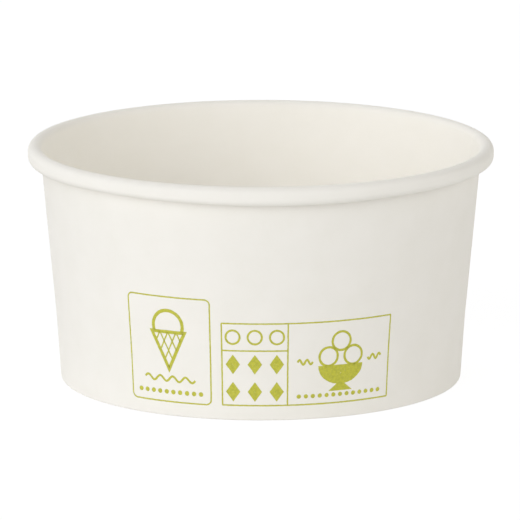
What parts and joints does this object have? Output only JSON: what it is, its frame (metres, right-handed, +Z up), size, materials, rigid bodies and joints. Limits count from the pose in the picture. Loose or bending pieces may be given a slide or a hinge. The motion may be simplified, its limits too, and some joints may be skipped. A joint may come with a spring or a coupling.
{
  "type": "paper sundae cup",
  "caption": "Squat round paper cup with a tapering lapped sidewall, an outward rolled rim, a hemmed foot and a raised flat bottom.",
  "frame": {"origin": "middle of the foot ring, on the surface that the cup stands on", "axes": "+Z up out of the cup's mouth, -Y towards the printed front, +X to the right as the front is seen"},
  "size_m": [0.098, 0.098, 0.05],
  "materials": {
    "sidewall_board": "satin",
    "bottom_board": "satin"
  },
  "bodies": {
    "root": {"sidewall": "sidewall_board", "bottom": "bottom_board"}
  },
  "joints": []
}
